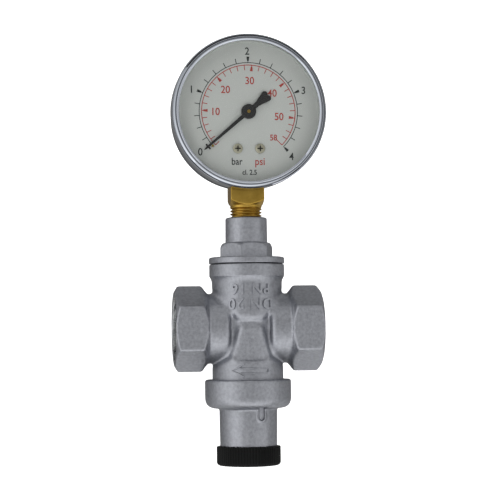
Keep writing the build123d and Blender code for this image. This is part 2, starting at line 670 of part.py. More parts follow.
def bourdon_tube():
    """C-shaped tube of flat oval section, from the carrier round to its free end."""
    wall = 0.4
    section = tube_section(8.0, 2.4) - tube_section(8.0 - 2 * wall, 2.4 - 2 * wall)
    curve = revolve(section, Axis.Z, TUBE_SWEEP)
    return on_gauge(Rot(0, 0, TUBE_END_ANGLE) * curve)


def tube_end_piece():
    """Brazed plug that closes the tube, with the slotted lug that the link's pin stands in."""
    block = ring(TUBE_R + 1.6, TUBE_R - 1.6, -6.4, 4.8)
    near, far = TUBE_END_ANGLE - 11.0, TUBE_END_ANGLE
    wedge = make_face(Polyline([(0, 0), *[(40 * cos(radians(a)), 40 * sin(radians(a)))
                                           for a in (near, far)], (0, 0)]))
    block = block & Pos(0, 0, -10) * extrude(wedge, 20)
    x, y = tip_pin_place()
    travel = tip_pin_travel()
    lug = Pos((x + TUBE_R - 1.4) / 2, y + travel / 2) * Rectangle(TUBE_R - 1.4 - x, travel + 4.0)
    lug += Pos(x, y + travel / 2) * SlotOverall(travel + 4.0, 4.0, rotation=90)
    lug -= Pos(x, y + travel / 2) * SlotOverall(travel + 1.9, 1.9, rotation=90)
    return on_gauge(block + Pos(0, 0, 3.6) * extrude(lug, 1.2))


NODES = {
    "valve_body": valve_body,
    "seat_ring": seat_ring,
    "seat_gasket": seat_gasket,
    "piston": piston,
    "piston_seal": piston_seal,
    "shutter_washer": shutter_washer,
    "shutter_disc": shutter_disc,
    "shutter_holder": shutter_holder,
    "shutter_nut": shutter_nut,
    "balance_seal": balance_seal,
    "top_plug": top_plug,
    "plug_gasket": plug_gasket,
    "spring_housing": spring_housing,
    "housing_gasket": housing_gasket,
    "regulating_spring": regulating_spring,
    "spring_plate": spring_plate,
    "adjusting_screw": adjusting_screw,
    "cap": cap,
    "gauge_socket": gauge_socket,
    "gauge_seal": gauge_seal,
    "gauge_case": gauge_case,
    "gauge_bezel": gauge_bezel,
    "gauge_window": gauge_window,
    "window_gasket": window_gasket,
    "gauge_dial": gauge_dial,
    "dial_posts": dial_posts,
    "dial_screws": dial_screws,
    "stop_pin": stop_pin,
    "pointer": pointer,
    "pointer_shaft": pointer_shaft,
    "sector_gear": sector_gear,
    "link": link,
    "link_pins": link_pins,
    "movement_front_plate": lambda: movement_plate(FRONT_PLATE, pillar_places(), 0.5),
    "movement_back_plate": lambda: movement_plate(BACK_PLATE, movement_screw_places(), 0.8),
    "movement_pillars": movement_pillars,
    "movement_screws": movement_screws,
    "hairspring": hairspring,
    "bourdon_tube": bourdon_tube,
    "tube_end_piece": tube_end_piece,
}

os.makedirs("parts", exist_ok=True)
for name, make in NODES.items():
    made = make()
    solids = made if isinstance(made, list) else made.solids()
    placed = [VALVE_AXIS * solid for solid in solids]
    shape = placed[0] if len(placed) == 1 else Compound(children=placed)
    export_step(shape, f"parts/{name}.step")
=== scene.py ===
"""Pressure reducing valve with a dial gauge: the looks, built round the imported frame."""
import json
import math
import bpy
import numpy as np
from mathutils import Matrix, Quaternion, Vector


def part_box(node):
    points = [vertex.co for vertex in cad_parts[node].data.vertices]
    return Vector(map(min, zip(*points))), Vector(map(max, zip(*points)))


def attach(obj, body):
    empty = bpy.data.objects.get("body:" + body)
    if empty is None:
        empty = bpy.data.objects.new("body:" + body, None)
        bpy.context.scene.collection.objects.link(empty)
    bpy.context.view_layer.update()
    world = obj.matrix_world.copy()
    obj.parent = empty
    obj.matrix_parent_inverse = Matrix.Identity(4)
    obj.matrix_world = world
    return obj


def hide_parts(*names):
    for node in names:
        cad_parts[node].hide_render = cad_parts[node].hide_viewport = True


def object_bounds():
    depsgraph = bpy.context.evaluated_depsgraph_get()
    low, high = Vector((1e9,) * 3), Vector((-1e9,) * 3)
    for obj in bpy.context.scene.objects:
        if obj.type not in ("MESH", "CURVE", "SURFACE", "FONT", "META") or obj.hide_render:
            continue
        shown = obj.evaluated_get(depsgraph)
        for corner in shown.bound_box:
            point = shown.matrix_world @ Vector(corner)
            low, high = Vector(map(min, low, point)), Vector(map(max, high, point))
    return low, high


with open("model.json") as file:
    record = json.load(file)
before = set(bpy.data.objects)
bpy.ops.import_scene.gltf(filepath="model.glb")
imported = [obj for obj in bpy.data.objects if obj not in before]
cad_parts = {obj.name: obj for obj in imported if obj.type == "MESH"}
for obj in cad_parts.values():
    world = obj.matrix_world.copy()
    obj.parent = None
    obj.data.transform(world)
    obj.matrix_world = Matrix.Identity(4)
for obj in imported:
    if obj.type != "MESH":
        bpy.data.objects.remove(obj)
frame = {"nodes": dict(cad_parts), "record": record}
cad_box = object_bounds()
nodes = frame["nodes"]

# ------------------------------------------------------------------ valve body
# One hot brass forging, shot-blasted and nickel-plated. Two hexagonal pipe ends lie on a short run, the
# upper barrel takes the plug, the lower one the spring housing, and a relieved waist joins them all.
MM = 0.001
body_low, body_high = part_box("valve_body")
run_half = (body_high.x - body_low.x) / 2 / MM
axis_x = (body_low.x + body_high.x) / 2
body_top = body_high.z / MM
body_bottom = body_low.z / MM
HEX_FLAT = 15.5
HEX_LENGTH = 13.0
FACE_EDGE_R = 15.3
HEX_BACK_R = 15.2
RUN_NECK_R = 14.4
RUN_NECK_FROM = 8.3
RUN_NECK_TO = 19.0
UPPER_R = 14.55
UPPER_END = 1.8                    # the upper barrel ends in a lip that sags to 2 mm above this height
LOWER_R = 14.7
LOWER_THREAD_R = 14.9
LOWER_THREAD_TOP = -21.6
LEDGE_ACROSS = (0, 5, 7.5, 15, 20)
LEDGE_Z = (-13.2, -12.9, -11.4, -15.3, -17.9)
RIM_R = 15.6
RIM_Z = 21.6
CORE_R = 13.0
PANEL_DEPTH = 14.1
PANEL_HALF = 4.9                   # half its width at the top; it flares and leans back going down
PANEL_FLARE = 3.2
PANEL_LEAN = 1.5
PANEL_MIDDLE = -5.7
PANEL_HALF_HEIGHT = 7.0
THREAD_MAJOR_R = 13.22
PASSAGE_R = 10.8
CHAMBER_R = 10.5
GUIDE_R = 12.0
SEAT_BORE_R = 8.05
SEAT_HALF = 3.0
SIN_60 = math.sin(math.pi / 3)


def linear(hex_colour):
    """The linear colour, with alpha, of an sRGB hex value."""
    values = [int(hex_colour[i:i + 2], 16) / 255 for i in (1, 3, 5)]
    return [v / 12.92 if v <= 0.04045 else ((v + 0.055) / 1.055) ** 2.4 for v in values] + [1.0]


def add(tree, kind, inputs=None, **settings):
    """Add a shader node with its settings, and fill or link its inputs."""
    made = tree.nodes.new(kind)
    for name, value in settings.items():
        setattr(made, name, value)
    for name, value in (inputs or {}).items():
        if isinstance(value, bpy.types.NodeSocket):
            tree.links.new(value, made.inputs[name])
        else:
            made.inputs[name].default_value = value
    return made


def new_material(name):
    """A material with an empty tree, its place in the object and its output."""
    made = bpy.data.materials.new(name)
    made.use_nodes = True
    tree = made.node_tree
    tree.nodes.clear()
    place = add(tree, "ShaderNodeTexCoord").outputs["Object"]
    return made, tree, place, add(tree, "ShaderNodeOutputMaterial")


def grain(size_mm):
    """The scale of a noise whose grains are that wide."""
    return 1 / (size_mm * MM)


def metal(name, dark, light, rough, pebble_mm, depth_mm, patch_mm):
    """A metal with slow patches between two shades and two roughnesses, over a fine pebbled relief."""
    made, tree, place, output = new_material(name)
    pebble = add(tree, "ShaderNodeTexNoise", {"Vector": place, "Scale": grain(pebble_mm), "Detail": 3.0})
    patch = add(tree, "ShaderNodeTexNoise", {"Vector": place, "Scale": grain(patch_mm), "Detail": 4.0,
                                             "Roughness": 0.65})
    spread = add(tree, "ShaderNodeMapRange", {"Value": patch.outputs["Fac"], "From Min": 0.35,
                                              "From Max": 0.65})
    colour = add(tree, "ShaderNodeMix", {"Factor": spread.outputs["Result"]}, data_type="RGBA")
    colour.inputs[6].default_value = linear(dark)
    colour.inputs[7].default_value = linear(light)
    roughness = add(tree, "ShaderNodeMapRange", {"Value": patch.outputs["Fac"], "From Min": 0.3,
                                                 "From Max": 0.7, "To Min": rough[0], "To Max": rough[1]})
    bump = add(tree, "ShaderNodeBump", {"Height": pebble.outputs["Fac"], "Strength": 1.0,
                                        "Distance": depth_mm * MM})
    shader = add(tree, "ShaderNodeBsdfPrincipled", {
        "Base Color": colour.outputs[2], "Metallic": 1.0, "Roughness": roughness.outputs["Result"],
        "Normal": bump.outputs["Normal"]})
    tree.links.new(shader.outputs["BSDF"], output.inputs["Surface"])
    return made


def mesh_piece(name, vertices, faces, material, body, slot, replaced=(), crease=None):
    """A mesh from points in metres, in the row frame, riding on a body."""
    mesh = bpy.data.meshes.new(name)
    mesh.from_pydata(np.asarray(vertices).tolist(), [], [list(face) for face in faces])
    mesh.validate()
    mesh.materials.append(material)
    mesh.shade_smooth()
    if crease:
        mesh.set_sharp_from_angle(angle=math.radians(crease))
    piece = bpy.data.objects.new(name, mesh)
    bpy.context.scene.collection.objects.link(piece)
    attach(piece, body)
    if replaced:
        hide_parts(*replaced)
    return piece


def both(a, b, r):
    """The overlap of two shapes given as distances, its outside edge rounded over about r."""
    h = np.maximum(r - np.abs(a - b), 0) / r
    return np.maximum(a, b) + h * h * r / 4


def either(a, b, r):
    """Two shapes given as distances, joined by a fillet of about r."""
    return -both(-a, -b, r)


def hexagon(across, up, flat):
    """Distance to a hexagonal bar with its flats facing the across axis, corners slightly rounded."""
    slant = np.abs(across) / 2 + np.abs(up) * SIN_60
    return both(np.abs(across) - flat, slant - flat, 0.8)


def forging_outside(x, y, z):
    """Distance in millimetres to the outside of the forging, from the crossing of its axes."""
    ax = np.abs(x)
    about_run = np.hypot(y, z)
    about_axis = np.hypot(x, y)
    neck = both(about_run - RUN_NECK_R, RUN_NECK_FROM - ax, 2.8)
    neck = np.maximum(neck, ax - RUN_NECK_TO)
    upper_end = UPPER_END + np.hypot(1.3 * np.maximum(ax - 4.5, 0), 2)
    upper = both(about_axis - UPPER_R, (upper_end - z) * 0.65, 1.7)
    upper = np.maximum(upper, z - 24)
    ledge = np.interp(ax, LEDGE_ACROSS, LEDGE_Z)
    lower = both(about_axis - LOWER_R, (z - ledge) * 0.9, 1.6)
    core = np.maximum(about_axis - CORE_R, np.abs(z + 4) - 11)
    drop = np.clip((1.5 - z) / 12.7, 0, 1)
    panel = both(np.abs(y) - PANEL_DEPTH + PANEL_LEAN * drop,
                 ax - PANEL_HALF - PANEL_FLARE * drop ** 1.5, 2.8)
    panel = both(panel, np.abs(z - PANEL_MIDDLE) - PANEL_HALF_HEIGHT, 1.8)
    shape = either(either(upper, core, 1.6), neck, 2.2)
    shape = either(shape, either(panel, lower, 0.9), 1.7)
    outer_cone = (about_run - FACE_EDGE_R - (run_half - ax) * 1.73) * 0.5
    inner_cone = (about_run - HEX_BACK_R - (ax - (run_half - HEX_LENGTH)) * 1.6) * 0.53
    ends = both(both(hexagon(y, z, HEX_FLAT), outer_cone, 0.6), inner_cone, 0.8)
    ends = np.maximum(ends, np.abs(ax - run_half + HEX_LENGTH / 2) - HEX_LENGTH / 2)
    shape = either(shape, ends, 1.9)
    rim = both(about_axis - RIM_R, z - body_top, 0.5)
    rim = np.maximum(rim, (about_axis - RIM_R + (RIM_Z - z) * 0.75) * 0.8)
    shape = either(shape, np.maximum(rim, 19.0 - z), 1.0)
    thread_zone = np.maximum(about_axis - LOWER_THREAD_R, z - LOWER_THREAD_TOP)
    return np.maximum(np.minimum(shape, thread_zone), body_bottom - z)


def forging_inside(x, y, z):
    """Distance to the ports, passages and chambers: inlet above the seat, outlet below it."""
    about_run = np.hypot(y, z)
    about_axis = np.hypot(x, y)
    ax = np.abs(x)
    hollows = [
        np.maximum(about_run - THREAD_MAJOR_R - 0.1, run_half - 14.6 - ax),
        np.maximum(about_run - THREAD_MAJOR_R - 1.0 + (run_half - ax), run_half - 2 - ax),
        np.maximum(about_run - PASSAGE_R, run_half - 17 - ax),
        np.maximum(np.maximum(about_run - CHAMBER_R, SEAT_HALF - z), np.maximum(-x, x - 20)),
        np.maximum(np.maximum(about_run - CHAMBER_R, z + SEAT_HALF), np.maximum(x, -x - 20)),
        np.maximum(about_axis - CHAMBER_R, SEAT_HALF - z),
        np.maximum(about_axis - GUIDE_R, 17 - z),
        np.maximum(about_axis - CHAMBER_R, z + SEAT_HALF),
        np.maximum(about_axis - GUIDE_R, z + 12),
        np.maximum(about_axis - SEAT_BORE_R, np.abs(z) - 4)]
    return np.minimum.reduce(hollows)


def forging(x, y, z):
    """Distance to the whole forging, with its hollow edges just broken."""
    return both(forging_outside(x, y, z), -forging_inside(x, y, z), 0.3)


def slope(field, points, reach=0.02):
    """The field's gradient at points, by small steps."""
    found = np.zeros_like(points)
    for k in range(3):
        shift = np.zeros(3)
        shift[k] = reach
        found[:, k] = field(*(points + shift).T) - field(*(points - shift).T)
    return found / (2 * reach)


def settle(field, points, rounds=3):
    """Points moved along the slope on to the field's zero surface, by at most 0.3 mm at once."""
    for _ in range(rounds):
        lean = slope(field, points)
        size = np.maximum((lean ** 2).sum(1), 0.1)
        step = (field(*points.T) / size)[:, None] * lean
        length = np.linalg.norm(step, axis=1, keepdims=True)
        points = points - step * np.minimum(1, 0.3 / np.maximum(length, 1e-9))
    return points


def skin(field, low, high, step):
    """A closed quad mesh of a field's zero surface, with one vertex in each grid cell that it crosses."""
    grids = [np.arange(a, b + step, step) for a, b in zip(low, high)]
    value = field(*np.meshgrid(*grids, indexing="ij"))
    inside = value < 0
    cells = tuple(n - 1 for n in value.shape)
    total = np.zeros((*cells, 3))
    count = np.zeros(cells)
    for one in [(i, j, k) for i in (0, 1) for j in (0, 1) for k in (0, 1)]:
        for axis in [k for k in range(3) if not one[k]]:
            two = tuple(1 if k == axis else one[k] for k in range(3))
            a = value[tuple(slice(o, o + n) for o, n in zip(one, cells))]
            b = value[tuple(slice(o, o + n) for o, n in zip(two, cells))]
            crossed = (a < 0) != (b < 0)
            t = np.where(crossed, a / np.where(crossed, a - b, 1), 0)
            for k in range(3):
                total[..., k] += np.where(crossed, one[k] + (t if k == axis else 0), 0)
            count += crossed
    used = count > 0
    index = np.full(cells, -1, np.int64)
    index[used] = np.arange(used.sum())
    points = (np.argwhere(used) + total[used] / count[used][:, None]) * step + [g[0] for g in grids]
    faces = []
    for axis in range(3):
        u, v = (axis + 1) % 3, (axis + 2) % 3
        first = np.take(inside, range(inside.shape[axis] - 1), axis)
        second = np.take(inside, range(1, inside.shape[axis]), axis)
        edge = np.argwhere(first != second)
        leaving = first[tuple(edge.T)]
        ring = []
        for du, dv in ((0, 0), (1, 0), (1, 1), (0, 1)):
            corner = edge.copy()
            corner[:, u] -= du
            corner[:, v] -= dv
            ring.append(index[tuple(corner.T)])
        ring = np.stack(ring, 1)
        ring[~leaving] = ring[~leaving][:, ::-1]
        faces.append(ring)
    return settle(field, points), np.concatenate(faces)


def skin_piece(name, field, low, high, step, material, body, slot, replaced=()):
    """A piece from a field in millimetres about the valve's axis, shaded by the field's own slope."""
    points, faces = skin(field, low, high, step)
    lean = slope(field, points)
    lean /= np.maximum(np.linalg.norm(lean, axis=1, keepdims=True), 1e-9)
    piece = mesh_piece(name, points * MM + [axis_x, 0, 0], faces, material, body, slot, replaced)
    piece.data.normals_split_custom_set_from_vertices(lean.tolist())
    return piece


# Nickel over a shot-blasted forging: a cool satin grey, evenly pebbled, with duller and brighter patches.
blasted_nickel = metal("blasted_nickel_plate", "#989AA0", "#B0B2B8", (0.40, 0.54), 0.45, 0.10, 1.2)
skin_piece("forged_body", forging, (-run_half - 1, -19, body_bottom - 1), (run_half + 1, 19, body_top + 1),
           0.5, blasted_nickel, "valve", "nickel_forging", ["valve_body"])

# ------------------------------------------------------------------ port threads
# The G3/4 female threads are cut into the forging after blasting, so their flanks are bright and smooth.
# Each is drawn as a thin lining with a helical bore.
PORT_MINOR_R = 24.117 / 2
PORT_PITCH = 1.814
THREAD_LENGTH = 12.7


def thread_profile(share):
    """How deep a rounded 55-degree thread is cut at a share of its pitch, from 0 at the crest to 1."""
    return np.clip(0.5 - 0.62 * np.cos(2 * np.pi * share), 0, 1)


def port_thread(side):
    """The threaded lining of a port, as a thin closed sleeve whose bore is a helix."""
    around, along = 96, 120
    angle = np.linspace(0, 2 * np.pi, around, endpoint=False)
    depth = np.linspace(0, THREAD_LENGTH, along)
    a, d = np.meshgrid(angle, depth, indexing="ij")
    cut = thread_profile(d / PORT_PITCH - a / (2 * np.pi))
    runout = np.clip((1.3 - d) / 1.3, 0, 1)
    inner = PORT_MINOR_R + (THREAD_MAJOR_R - PORT_MINOR_R) * np.maximum(cut, runout)
    outer = np.full_like(inner, THREAD_MAJOR_R + 0.3)
    rings = np.concatenate([inner, outer[:, ::-1]], 1)
    x = side * (run_half - 0.15 - np.concatenate([d, d[:, ::-1]], 1))
    points = np.stack([x, rings * np.cos(a[:, :1]), rings * np.sin(a[:, :1])], -1).reshape(-1, 3)
    count = 2 * along
    faces = []
    for i in range(around):
        for j in range(count):
            corners = [i * count + j, i * count + (j + 1) % count,
                       (i + 1) % around * count + (j + 1) % count, (i + 1) % around * count + j]
            faces.append(corners if side > 0 else corners[::-1])
    return points * MM + [axis_x, 0, 0], faces


# Nickel-plated cut thread: smooth, a little darker where the light does not reach.
cut_nickel = metal("machined_nickel_plate", "#A9ABAD", "#BFC1C2", (0.22, 0.34), 0.25, 0.01, 2.5)
for name, side in (("inlet_thread", 1), ("outlet_thread", -1)):
    mesh_piece(name, *port_thread(side), cut_nickel, "valve", "nickel_forging")

# ------------------------------------------------------------------ cast marks
# The forging die leaves the size and rating in raised letters on the upper barrel, upside down as the
# valve hangs here, and a flow arrow on the lower neck that points to the outlet.


def lettering(words, height, depth):
    """Words as an outline object centred on its own origin, with soft edges, ready to be wrapped."""
    curve = bpy.data.curves.new(words, "FONT")
    curve.body = words
    curve.size = height / 0.70
    curve.align_x = "CENTER"
    curve.align_y = "CENTER"
    curve.extrude = depth
    curve.bevel_depth = 0.1
    curve.offset = 0.06
    curve.space_character = 1.1
    curve.bevel_resolution = 1
    curve.resolution_u = 3
    made = bpy.data.objects.new(words, curve)
    bpy.context.scene.collection.objects.link(made)
    bpy.context.view_layer.update()
    return made


def mark(name, words, height, middle_z):
    """Raised letters on the upper barrel, upside down."""
    outline = lettering(words, height, 0.6)
    evaluated = outline.evaluated_get(bpy.context.evaluated_depsgraph_get())
    mesh = bpy.data.meshes.new_from_object(evaluated)
    points = np.array([v.co for v in mesh.vertices]) * [-1, -1, 1]
    faces = [tuple(p.vertices) for p in mesh.polygons]
    bpy.data.objects.remove(outline)
    angle = points[:, 0] / UPPER_R
    reach = UPPER_R + points[:, 2]
    placed = np.stack([reach * np.sin(angle), -reach * np.cos(angle), points[:, 1] + middle_z], 1)
    mesh_piece(name, placed * MM + [axis_x, 0, 0], faces, blasted_nickel, "valve", "nickel_forging",
               crease=40)


mark("cast_rating", "PN 16", 4.1, 16.2)
mark("cast_size", "DN 20", 4.4, 10.2)


def ridge(route, radius, width, height):
    """A raised line along a route of (across, up) points on the front of a barrel, its ends closed flat."""
    points, faces = [], []
    route = np.array(route, float)
    along = np.gradient(route, axis=0)
    along /= np.linalg.norm(along, axis=1, keepdims=True)
    side = np.stack([-along[:, 1], along[:, 0]], 1)
    for (u, v), (su, sv) in zip(route, side):
        for across, up in ((-0.5, -0.2), (-0.28, 0.8), (0.28, 0.8), (0.5, -0.2)):
            reach = radius + up * height
            a = (u + su * across * width) / radius
            points.append((reach * math.sin(a), -reach * math.cos(a), v + sv * across * width))
    for i in range(len(route) - 1):
        for k in range(4):
            faces.append((4 * i + k, 4 * i + (k + 1) % 4, 4 * i + 4 + (k + 1) % 4, 4 * i + 4 + k))
    faces.append((3, 2, 1, 0))
    last = 4 * (len(route) - 1)
    faces.append((last, last + 1, last + 2, last + 3))
    return points, faces


def join_ridges(name, routes, radius, width, height):
    """Several raised lines as one cast piece."""
    points, faces = [], []
    for route in routes:
        more, ring = ridge(route, radius, width, height)
        faces += [tuple(i + len(points) for i in face) for face in ring]
        points += more
    mesh_piece(name, np.array(points) * MM + [axis_x, 0, 0], faces, blasted_nickel, "valve",
               "nickel_forging", crease=60)


arrow_mid_z = -17.2
join_ridges("cast_flow_arrow", [
    [(-3.2, arrow_mid_z + 2.7), (-5.6, arrow_mid_z + 1.2), (-8.4, arrow_mid_z), (-5.6, arrow_mid_z - 1.2),
     (-3.2, arrow_mid_z - 2.6)],
    [(-4.6, arrow_mid_z + 1.0), (0.5, arrow_mid_z + 0.9), (7.2, arrow_mid_z + 1.0)],
    [(-4.6, arrow_mid_z - 1.0), (0.5, arrow_mid_z - 1.1), (7.2, arrow_mid_z - 0.9)],
    [(7.2, arrow_mid_z + 1.0), (7.3, arrow_mid_z), (7.2, arrow_mid_z - 0.9)]], LOWER_R, 0.8, 0.7)

# ------------------------------------------------------------------ plug
# Turned from hexagon bar and nickel-plated: a flange that seals on the body, the hexagon it is tightened
# by and a round boss that takes the gauge's thread.
plug_low, plug_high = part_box("top_plug")
FLANGE_R = (plug_high.x - plug_low.x) / 2 / MM
FLANGE_TOP = 29.5
PLUG_FLAT = 10.0
PLUG_HEX_TOP = 35.5
PLUG_HEX_CORNER = math.radians(-108.7)
BOSS_R = 8.65
SKIRT_R = 11.6
SLEEVE_R = 6.56
GAUGE_BORE_R = 6.62
boss_top = plug_high.z / MM
gasket_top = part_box("plug_gasket")[1].z / MM


def plug(x, y, z):
    """Distance to the plug: flange, hexagon, boss and threaded skirt, bored from both ends."""
    about = np.hypot(x, y)
    flange = both(both(about - FLANGE_R, z - FLANGE_TOP, 0.9), gasket_top - z, 0.4)
    turn = PLUG_HEX_CORNER - math.pi / 2
    across = x * math.cos(turn) + y * math.sin(turn)
    up = -x * math.sin(turn) + y * math.cos(turn)
    cone = (about - PLUG_FLAT + 0.1 - (PLUG_HEX_TOP - z) * 0.85) * 0.76
    bar = both(both(hexagon(across, up, PLUG_FLAT), cone, 0.5), z - PLUG_HEX_TOP, 0.5)
    bar = np.maximum(bar, FLANGE_TOP - 1 - z)
    boss = both(about - BOSS_R - 0.008 * (boss_top - z), z - boss_top, 0.9)
    boss = np.maximum(boss, FLANGE_TOP - 1 - z)
    skirt = both(about - SKIRT_R, np.abs(z - 20) - 7, 0.4)
    solid = either(either(flange, bar, 0.5), either(boss, skirt, 0.1), 0.3)
    hollow = np.minimum(np.maximum(about - SLEEVE_R, z - 25.5),
                        np.maximum(about - GAUGE_BORE_R, boss_top - 11.7 - z))
    return both(solid, -np.minimum(hollow, about - 2.0), 0.3)


reach = FLANGE_R + 1
skin_piece("turned_plug", plug, (-reach, -reach, 12), (reach, reach, boss_top + 1), 0.4, blasted_nickel,
           "valve", "nickel_turned", ["top_plug"])

# ------------------------------------------------------------------ spring housing
# A second blasted forging. Its collar screws over the lower neck and its bell holds the spring. A small
# breather recess with a raised, round-ended rim runs down the front of the bell from under the collar.
house_low, house_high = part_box("spring_housing")
COLLAR_R = (house_high.x - house_low.x) / 2 / MM
collar_top = house_high.z / MM
house_bottom = house_low.z / MM
COLLAR_BOTTOM = -32.9
BELL_R = 12.0
BELL_DRAFT = 0.016
SPIGOT_R = 11.2
SPIGOT_TOP = -44.0
VENT_X = 4.2
VENT_Z = -36.4
VENT_R = 1.15
VENT_RIM_R = 2.15


def housing(x, y, z):
    """Distance to the housing: collar, bell and spigot, with the breather's rim and recess in front."""
    about = np.hypot(x, y)
    collar = both(both(about - COLLAR_R, z - collar_top, 1.2), COLLAR_BOTTOM - z, 4.6)
    bell_r = BELL_R + (z - COLLAR_BOTTOM) * BELL_DRAFT
    bell = np.maximum(about - bell_r, np.abs(z + 40) - 8.5)
    spigot = both(about - SPIGOT_R, house_bottom - z, 0.5)
    spigot = np.maximum(spigot, z - SPIGOT_TOP)
    below = np.minimum(z - VENT_Z, 0)
    rim = both(np.hypot(x - VENT_X, below) - VENT_RIM_R, about - bell_r - 0.4, 0.6)
    rim = np.maximum(rim, np.maximum(y, z + 33))
    recess = both(np.hypot(x - VENT_X, below) - VENT_R, bell_r - 0.5 - about, 0.4)
    recess = np.maximum(recess, np.maximum(y, z + 32.2))
    solid = either(either(collar, bell, 1.2), rim, 0.5)
    solid = either(both(solid, -recess, 0.5), spigot, 0.1)
    hollow = np.minimum.reduce([
        np.maximum(about - 15.05, -31.0 - z), np.maximum(about - 10.6, -40.3 - z), about - 10.0])
    return both(solid, -hollow, 0.3)


reach = COLLAR_R + 1
skin_piece("forged_housing", housing, (-reach, -reach, house_bottom - 1), (reach, reach, collar_top + 1),
           0.45, blasted_nickel, "valve", "nickel_turned", ["spring_housing"])

# ------------------------------------------------------------------ cap
# Injection-moulded black polyamide, a shallow cup with fine grip ribs. It is pushed over the housing's
# spigot and hides the adjusting screw.
cap_low, cap_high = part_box("cap")
CAP_R = (cap_high.x - cap_low.x) / 2 / MM
CAP_RIBS = 68
RIB_DEPTH = 0.28
CAP_BORE_R = 11.3
CAP_FLOOR = 2.0


def lathe(profile, around, name, material, body, slot, replaced=(), crease=35, dial=False, ripple=None):
    """A closed turned piece from (radius, height) points; a ripple cuts the points marked 1 by angle."""
    profile = np.array(profile, float)
    angle = np.linspace(0, 2 * np.pi, around, endpoint=False)
    radius = np.repeat(profile[None, :, 0], around, 0)
    if ripple:
        radius = radius + ripple(angle)[:, None] * profile[None, :, 2]
    height = np.repeat(profile[None, :, 1], around, 0)
    x, y = radius * np.cos(angle)[:, None], radius * np.sin(angle)[:, None]
    points = np.stack([x, y, height], -1).reshape(-1, 3)
    n = len(profile)
    i, j = np.meshgrid(np.arange(around), np.arange(n), indexing="ij")
    i2, j2 = (i + 1) % around, (j + 1) % n
    faces = np.stack([i * n + j, i2 * n + j, i2 * n + j2, i * n + j2], -1).reshape(-1, 4)
    points = on_dial(points) if dial else points * MM + [axis_x, 0, 0]
    return mesh_piece(name, points, faces, material, body, slot, replaced, crease)


def rounded(corners, steps=5):
    """A closed loop of (radius, height, rounding) corners with each corner replaced by an arc."""
    loop = []
    total = len(corners)
    for i, (x, y, r) in enumerate(corners):
        here = np.array([x, y], float)
        if not r:
            loop.append((x, y))
            continue
        before = np.array(corners[i - 1][:2], float) - here
        after = np.array(corners[(i + 1) % total][:2], float) - here
        before /= np.linalg.norm(before)
        after /= np.linalg.norm(after)
        half = math.acos(np.clip(before @ after, -1, 1)) / 2
        reach = r / math.tan(half)
        middle = here + (before + after) / np.linalg.norm(before + after) * r / math.sin(half)
        start, end = here + before * reach - middle, here + after * reach - middle
        for k in range(steps + 1):
            arm = start * (1 - k / steps) + end * k / steps
            loop.append(tuple(middle + arm / np.linalg.norm(arm) * r))
    return loop


def moulded_black():
    """Black polyamide: nearly black, satin, with the faint orange-peel of a moulding."""
    made, tree, place, output = new_material("moulded_black_polyamide")
    peel = add(tree, "ShaderNodeTexNoise", {"Vector": place, "Scale": grain(0.8), "Detail": 2.0})
    bump = add(tree, "ShaderNodeBump", {"Height": peel.outputs["Fac"], "Strength": 1.0,
                                        "Distance": 0.02 * MM})
    rough = add(tree, "ShaderNodeMapRange", {"Value": peel.outputs["Fac"], "To Min": 0.34, "To Max": 0.46})
    shader = add(tree, "ShaderNodeBsdfPrincipled", {
        "Base Color": linear("#030404"), "Roughness": rough.outputs["Result"], "IOR": 1.25,
        "Normal": bump.outputs["Normal"]})
    tree.links.new(shader.outputs["BSDF"], output.inputs["Surface"])
    return made


def ribs(angle):
    """How far the cap's wall stands at an angle from its full radius: flat-topped ribs, narrow grooves."""
    return RIB_DEPTH * (np.clip(np.cos(angle * CAP_RIBS) * 1.6, -1, 1) - 1) / 2


cap_top, cap_bottom = cap_high.z / MM, cap_low.z / MM
cap_loop = rounded([
    (CAP_BORE_R, cap_top, 0.3), (CAP_BORE_R, cap_bottom + CAP_FLOOR, 0.4), (0.01, cap_bottom + CAP_FLOOR, 0),
    (0.01, cap_bottom, 0), (CAP_R, cap_bottom, 1.4), (CAP_R, cap_top, 0.45)])
cap_loop = [(r, z, 1.0 if r > CAP_R - 0.5 else 0.0) for r, z in cap_loop]
black_plastic = moulded_black()
lathe(cap_loop, CAP_RIBS * 8, "ribbed_cap", black_plastic, "cap", "black_plastic", ["cap"], 50,
      ripple=ribs)

# ------------------------------------------------------------------ gauge stem
# One piece of drawn brass, screwed into the plug: a G1/4 thread, a short coned neck and a 14 mm square for
# the spanner. It ends just inside the case.
GAUGE_MAJOR_R = 13.157 / 2
GAUGE_MINOR_R = 11.445 / 2
GAUGE_PITCH = 1.337
SQUARE_HALF = 7.0
SQUARE_LOW = 51.1
RUNOUT_Z = 50.4
BORE_R = 1.6
case_low, case_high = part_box("gauge_case")
gauge_z = (case_low.z + case_high.z) / 2 / MM
stem_top = gauge_z - 28.0


def stem(x, y, z):
    """Distance to the stem: helical thread, neck and square, with the pressure bore through it."""
    about = np.hypot(x, y)
    turn = np.arctan2(y, x) / (2 * np.pi)
    cut = thread_profile(z / GAUGE_PITCH - turn) * np.clip((RUNOUT_Z - z) / 0.9, 0, 1)
    thread = (about - GAUGE_MAJOR_R + (GAUGE_MAJOR_R - GAUGE_MINOR_R) * cut) * 0.7
    thread = np.maximum(thread, np.maximum(z - SQUARE_LOW - 0.5, 35.0 - z))
    square = both(np.abs(x) - SQUARE_HALF, np.abs(y) - SQUARE_HALF, 0.5)
    cone = (about - GAUGE_MAJOR_R - 0.1 - (z - SQUARE_LOW) * 1.5) * 0.55
    square = both(both(square, cone, 0.3), SQUARE_LOW - z, 0.3)
    solid = np.maximum(either(thread, square, 0.4), z - stem_top)
    return np.maximum(solid, BORE_R - about)


